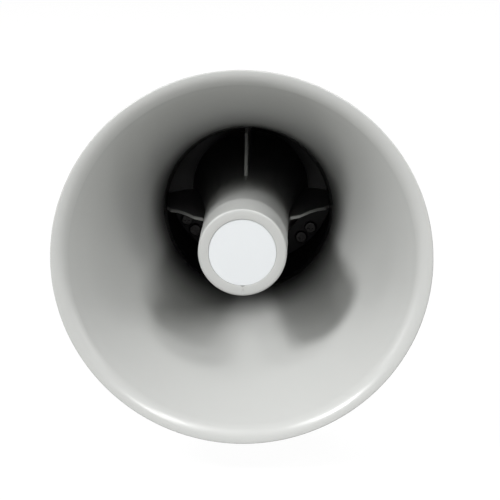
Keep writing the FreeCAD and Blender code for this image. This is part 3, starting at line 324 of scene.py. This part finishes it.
outline = []
for count in range(inner_steps + 1):
    depth = flare_depth - (flare_depth - crease_depth) * count / inner_steps
    outline.append((flare_radius(depth), depth))
outline[-1] = (crease_radius + groove_depth, crease_depth)
lip_steps = 12
edge_lean = math.radians(4.0)
crease_lean = math.radians(61.0)
lean_growth = 1.6
edge_round = 0.6
face_radius = mouth_radius - edge_round * (1 - math.sin(edge_lean))
leans = [
    crease_lean + (edge_lean - crease_lean) * ((count + 0.5) / lip_steps) ** lean_growth
    for count in range(lip_steps)
]
stride = (face_radius - crease_radius) / sum(math.cos(lean) for lean in leans)
radius, depth = crease_radius, crease_depth
for lean in leans:
    radius += stride * math.cos(lean)
    depth -= stride * math.sin(lean)
    outline.append((radius, depth))
edge_front = outline[-1][1]
for turn in (18.0, 36.0, 54.0, 72.0, 90.0):
    angle = math.radians(turn)
    outline.append((
        mouth_radius - edge_round * (1 - math.sin(angle)),
        edge_front + edge_round * (math.cos(edge_lean) - math.cos(angle)),
    ))
hem_place = len(outline)
hem_end = (103.1, 7.2)
hem_inside = (100.8, 7.4)
hem_root = (100.5, 5.0)
outline += [hem_end, hem_inside, hem_root]
for count in range(outer_steps + 1):
    depth = crease_depth + (flange_front - crease_depth) * count / outer_steps
    slope = math.atan(flare_rate * flare_radius(depth))
    outline.append((flare_radius(depth) + flare_wall * math.cos(slope), depth + flare_wall * math.sin(slope)))
outline[-1] = (flare_radius(flange_front) + flare_wall, flange_front)
root_place = len(outline) - 1
outline.append((flange_radius, flange_front))
outline.append((flange_radius, flare_depth))
shape = bmesh.new()
turned(
    shape, outline, round_steps,
    rounded=(
        (hem_place, 0.6), (hem_place + 1, 0.6), (hem_place + 2, 1.0),
        (root_place, 1.5), (root_place + 1, 0.6), (root_place + 2, 0.4),
    ),
)
lug_radius = 5.0
lug_circle = 60.0
lug_front = 125.0
web_reach = 8.5
skin_reach = 0.6
for quarter in range(4):
    post = bmesh.ops.create_cone(
        shape, cap_ends=True, segments=48, radius1=lug_radius * mm, radius2=lug_radius * mm,
        depth=(flare_depth - lug_front) * mm,
    )["verts"]
    bmesh.ops.rotate(shape, verts=post, cent=(0, 0, 0), matrix=Matrix.Rotation(math.pi / 2, 3, "X"))
    bmesh.ops.translate(shape, verts=post, vec=on_axis(lug_circle, (flare_depth + lug_front) / 2))
    web = bmesh.ops.create_cube(shape, size=1.0)["verts"]
    bmesh.ops.scale(
        shape, verts=web, vec=(2 * lug_radius * mm, (flare_depth - lug_front) * mm, web_reach * mm),
    )
    bmesh.ops.translate(
        shape, verts=web, vec=on_axis(lug_circle - web_reach / 2, (flare_depth + lug_front) / 2),
    )
    bmesh.ops.rotate(
        shape, verts=post + web, cent=on_axis(0, 0),
        matrix=Matrix.Rotation(math.radians(45 + 90 * quarter), 3, "Y"),
    )
# The flare's inside faces take a copy of the grey ABS with painted shade, which turns near black towards the
# throat.
for face in shape.faces:
    middle = face.calc_center_median()
    depth = (middle.y - mouth_depth) / mm
    radius = math.hypot(middle.x, middle.z - axis_height) / mm
    if crease_depth < depth < flare_depth - 0.01 and radius < flare_radius(depth) + skin_reach:
        face.material_index = 1
grey_abs = plastic("moulded_grey_abs", "C1C2C0", 0.26, 1.5, 0.9, 0.006, 0.012)
# Painted shade: from 94 mm to 138 mm behind the mouth this copy turns near black.
flare_inside_painted_shade = plastic(
    "grey_abs_inside_the_flare_with_painted_shade", "C1C2C0", 0.26, 1.5, 0.9, 0.006, 0.012, (94.0, 138.0, "101010"),
)
piece("flare", shape, (grey_abs, flare_inside_painted_shade), "horn", ["flare_horn"])


# The cap: a nose of the same ABS, glued on the centre tube, with a crowned rim, a shallow round
# seat for the label, a small notch at the bottom to prise the label out, and the mark where the
# plastic ran in. Its mould was blasted, so it is duller than the flare.
cap_front = 16.5
cap_end = 44.5
cap_radius = 24.6
cap_crown = 0.15
cap_edge = 1.2
label_radius = 18.7
seat_radius = label_radius + 0.1
label_sink = 0.35
label_thickness = 0.8
seat_depth = cap_front + cap_crown + label_sink + label_thickness
rim_width = cap_radius - cap_edge - seat_radius
socket_radius = 23.2
socket_depth = 38.5
bore_radius = 21.8
bore_depth = 23.0
core_radius = 19.3
core_depth = 20.5
outline = [(0.0, seat_depth), (seat_radius, seat_depth)]
outline.append((seat_radius, cap_front + cap_crown))
for share in (0.2, 0.4, 0.6, 0.8):
    rise = 4 * share * (1 - share) * cap_crown
    outline.append((seat_radius + share * rim_width, cap_front + cap_crown - rise))
outline.append((seat_radius + rim_width, cap_front + cap_crown))
for turn in (22.5, 45.0, 67.5, 90.0):
    angle = math.radians(turn)
    outline.append((
        cap_radius - cap_edge + cap_edge * math.sin(angle),
        cap_front + cap_crown + cap_edge - cap_edge * math.cos(angle),
    ))
skirt_place = len(outline)
outline += [
    (cap_radius, cap_end), (socket_radius, cap_end), (socket_radius, socket_depth),
    (bore_radius, socket_depth), (bore_radius, bore_depth), (core_radius, core_depth), (0.0, core_depth),
]
shape = bmesh.new()
turned(shape, outline, 256, rounded=((1, 0.15), (2, 0.15), (skirt_place, 0.35)))
notch_width = 1.2
notch_reach = 0.8
gate_radius = 22.0
gate_width = 0.6
gate_depth = 0.5
for vert in shape.verts:
    out = (axis_height - vert.co.z) / mm
    depth = (vert.co.y - mouth_depth) / mm
    if abs(vert.co.x) > notch_width / 2 * mm or depth > seat_depth + 0.01:
        continue
    if seat_radius - 0.3 < out < seat_radius + 0.3:
        vert.co.z -= notch_reach * mm
    elif abs(out - gate_radius) < 0.5 and abs(vert.co.x) < gate_width / 2 * mm:
        vert.co.y += gate_depth * mm
cap_abs = plastic("moulded_cap_abs", "B9BAB8", 0.42, 1.5, 0.9, 0.008, 0.008)
piece("cap", shape, cap_abs, "horn", ["front_cap"])


# The label: a disc of white polycarbonate film, stuck in its seat and left plain. The film is
# satin, so the lamps lie on it as an even white, without a spot.
label_front = cap_front + cap_crown + label_sink
label_back = label_front + label_thickness
outline = [(0.0, label_front), (label_radius, label_front), (label_radius, label_back), (0.0, label_back)]
shape = bmesh.new()
turned(shape, outline, 128, rounded=((1, 0.12),))
white_film = plastic("white_label_film", "DCDFE1", 0.40, 1.58, 0.5, 0.004, 0.004)
piece("label", shape, white_film, "horn", ["cap_label"])


# The centre tube: one ABS moulding with the rearward bell, the four vanes that carry it and the
# ring that is clamped behind the flare. It keeps the solid's own form, and every hard edge is
# eased as the radius of a mould leaves it. Its grey is painted darker than the flare's, and
# darker still down the throat, as painted shade; the vanes' front faces keep the flare's paler
# grey, a painted highlight.
def eased(name, nodes, width, segments, material, body):
    """A copy of some solids with their loose triangles merged and their edges rounded."""
    flat_angle = 0.08
    hard_angle = 30.0
    shape = bmesh.new()
    for node in nodes:
        shape.from_mesh(frame["nodes"][node].data)
    bmesh.ops.remove_doubles(shape, verts=shape.verts, dist=2e-6)
    bmesh.ops.dissolve_limit(
        shape, angle_limit=math.radians(flat_angle), verts=shape.verts, edges=shape.edges,
    )
    hard = [
        edge for edge in shape.edges
        if edge.is_manifold and edge.calc_face_angle(0) > math.radians(hard_angle)
    ]
    bmesh.ops.bevel(
        shape, geom=hard, offset=width * mm, offset_type="OFFSET", segments=segments, profile=0.5,
        affect="EDGES", clamp_overlap=False, material=-1,
    )
    return piece(name, shape, material, body, nodes)


# Painted shade: the tube's copy of the grey ABS is darker, and turns darker still from 68 mm to 112 mm behind
# the mouth.
tube_abs_painted_shade = plastic(
    "grey_abs_of_the_tube_darkened_as_painted_shade", "ABACAA", 0.30, 1.5, 0.9, 0.006, 0.012, (68.0, 112.0, "5C5C5C"),
)
# Painted highlight: the vanes' front faces keep the flare's paler grey, with painted shade from 100 mm behind
# the mouth.
vane_front_abs_painted_light_and_shade = plastic(
    "grey_abs_of_the_vane_fronts_with_painted_light_and_shade", "C1C2C0", 0.30, 1.5, 0.9, 0.006, 0.012, (100.0, 150.0, "484848"),
)
tube = eased("centre_tube", ["centre_bell"], 0.35, 2, (tube_abs_painted_shade, vane_front_abs_painted_light_and_shade), "horn")
vane_half_width = 1.0
vane_front = 86.0
vane_rear = 134.0
tube_reach = 24.35
# The painted highlight goes on the vanes' faces that look out of the mouth.
for face in tube.data.polygons:
    across = abs(face.center.x)
    upright = abs(face.center.z - axis_height)
    on_vane = min(across, upright) < vane_half_width * mm and max(across, upright) > tube_reach * mm
    ahead = vane_front * mm < face.center.y - mouth_depth < vane_rear * mm
    if on_vane and ahead and face.normal.y < -0.2:
        face.material_index = 1


# The tone pipe: a tube of black ABS that stands on the floor of the throat, held by its screws.
# A blasted mould and a dark colour make it the darkest and dullest moulding of the horn.
black_abs = plastic("moulded_black_abs", "0E0E0F", 0.50, 1.5, 0.9, 0.012, 0.02)
eased("tone_pipe", ["tone_tube"], 0.3, 2, black_abs, "horn")


# The body and the back cover: two ABS mouldings of the flare's grey, screwed together with a
# gasket between them. The body's chamber, deep in the throat, is painted near black as painted
# shade, with a duller skin.
# Painted shade: the chamber's faces are coloured near black.
chamber_painted_shade = plastic("chamber_wall_painted_near_black_as_shade", "0D0D0D", 0.70, 1.5, 0.9, 0.006, 0.012)
chamber_radius = 52.0
chamber_end = 218.1
body = eased("body", ["throat_body"], 0.5, 2, (grey_abs, chamber_painted_shade), "horn")
for face in body.data.polygons:
    radius = math.hypot(face.center.x, face.center.z - axis_height)
    if radius < chamber_radius * mm and face.center.y - mouth_depth < chamber_end * mm:
        face.material_index = 1
eased("back_cover", ["rear_cover"], 0.5, 2, grey_abs, "horn")


# The cable gland: a hexagon and a cap of grey polyamide, screwed into the back cover. Polyamide
# comes from the mould with a waxy satin skin, a little darker than the ABS beside it.
gland_nylon = plastic("moulded_grey_nylon", "A9ABA7", 0.55, 1.53, 0.6, 0.02, 0.02)
eased("gland_hexagon", ["gland_body"], 0.4, 2, gland_nylon, "horn")
eased("gland_cap", ["gland_nut"], 0.4, 2, gland_nylon, "horn")


# The screws, washers and bolts, of stainless steel. They were tumbled bright after cutting, which
# gives them a soft gleam with rounded edges. The ones in the throat and the motor's are a darker,
# rougher steel.
def metal(name, code, roughness, lines, depth):
    """A metal with fine marks from how it was worked, stretched by lines and so many mm deep."""
    mark_size = 1.2
    gloss_spread = 0.25
    material = bpy.data.materials.new(name)
    material.use_nodes = True
    tree = material.node_tree
    tree.nodes.clear()
    place = add_node(tree, "ShaderNodeTexCoord").outputs["Object"]
    stretch = add_node(tree, "ShaderNodeMapping", {"Scale": lines}, {"Vector": place})
    marks = add_node(
        tree, "ShaderNodeTexNoise", {"Scale": 1 / (mark_size * mm), "Detail": 3.0},
        {"Vector": stretch.outputs[0]},
    )
    gloss = add_node(
        tree, "ShaderNodeMapRange",
        {"To Min": roughness * (1 - gloss_spread), "To Max": roughness * (1 + gloss_spread)},
        {"Value": marks.outputs["Fac"]},
    )
    bump = add_node(
        tree, "ShaderNodeBump", {"Strength": 1.0, "Distance": depth * mm}, {"Height": marks.outputs["Fac"]},
    )
    surface = add_node(
        tree, "ShaderNodeBsdfPrincipled", {"Base Color": colour(code), "Metallic": 1.0},
        {"Roughness": gloss.outputs["Result"], "Normal": bump.outputs["Normal"]},
    )
    add_node(tree, "ShaderNodeOutputMaterial", links={"Surface": surface.outputs[0]})
    return material


even_marks = (1.0, 1.0, 1.0)
tumbled_stainless = metal("tumbled_stainless_steel", "B4B2AE", 0.30, even_marks, 0.01)
darker_stainless = metal("darker_stainless_steel", "5A5958", 0.45, even_marks, 0.02)
eased("lug_screws", ["flare_screws"], 0.15, 2, tumbled_stainless, "horn")
eased("tube_screws", ["throat_screws"], 0.15, 2, darker_stainless, "horn")
eased("motor_screws", ["driver_screws"], 0.15, 2, darker_stainless, "horn")
eased("back_screws", ["cover_screws"], 0.15, 2, tumbled_stainless, "horn")
eased("hinge_washers", ["pivot_washers"], 0.15, 2, tumbled_stainless, "horn")
eased("hinge_bolts", ["pivot_bolts"], 0.25, 2, tumbled_stainless, "horn")


# The bracket: a strip of stainless steel, drilled and bent to a U, that the horn tilts in. It was
# brushed along the strip, so its highlights spread across the fine lines.
along_strip = (0.08, 1.0, 1.0)
brushed_stainless = metal("brushed_stainless_steel", "B4B2AE", 0.32, along_strip, 0.01)
eased("u_bracket", ["bracket"], 0.35, 2, brushed_stainless, "bracket")


# The sealed driver, the line transformer, the gaskets and the small fittings. Little of them ever
# shows, and they keep the solids' forms, each with the finish that its slot names.
inner = {
    # cast and left raw: matt pale grey with a sandy skin
    "cast_aluminium": metal("cast_aluminium", "A9ABAD", 0.55, even_marks, 0.05),
    # plated: a cool, clean satin
    "zinc_steel": metal("zinc_plated_steel", "B3B6BA", 0.35, even_marks, 0.01),
    # turned bright: warm yellow
    "brass": metal("turned_brass", "C9A45A", 0.30, even_marks, 0.01),
    # fine turns side by side, so the marks run round
    "copper_wire": metal("enamelled_copper_wire", "B4683A", 0.35, (1.0, 8.0, 1.0), 0.02),
    # varnish over steel sheet: dark, with a slight shine
    "laminations": plastic("varnished_laminations", "3A3A3E", 0.45, 1.5, 0.4, 0.03, 0.05),
    # pressed and fired: dull and nearly black
    "ferrite": plastic("sintered_ferrite", "1E1F21", 0.60, 2.0, 0.3, 0.02, 0.05),
    # resin film: amber and smooth
    "phenolic": plastic("phenolic_film", "8C5C29", 0.40, 1.6, 0.4, 0.01, 0.05),
    # cloth soaked in resin: brown and rough
    "surround_cloth": plastic("doped_cloth", "483527", 0.80, 1.5, 0.5, 0.05, 0.05),
    # yellow film tape: smooth and a little glossy
    "winding_tape": plastic("polyester_tape", "CCA82E", 0.30, 1.6, 0.6, 0.01, 0.02),
    # extruded PVC: even red with a soft shine
    "lead_insulation": plastic("pvc_insulation", "8C120E", 0.40, 1.53, 0.5, 0.01, 0.02),
    # moulded polyamide: green, satin
    "terminal_nylon": plastic("terminal_nylon", "335C3D", 0.50, 1.53, 0.5, 0.02, 0.02),
    # moulded rubber: matt black
    "seal_rubber": plastic("moulded_seal_rubber", "1A1A1A", 0.75, 1.52, 0.5, 0.03, 0.03),
    # pressed paper fibre: dry and brown
    "fibre": plastic("pressed_fibre", "574D42", 0.85, 1.45, 0.4, 0.05, 0.06),
    "gland_nylon": gland_nylon,
    "black_abs": black_abs,
    "stainless": tumbled_stainless,
    "grey_abs": grey_abs,
    "cap_abs": cap_abs,
    "white_label": white_film,
}
for row in frame["record"]["subparts"]:
    node = frame["nodes"][row["node"]]
    for place in node.material_slots:
        place.material = inner[row["material_slot"]]
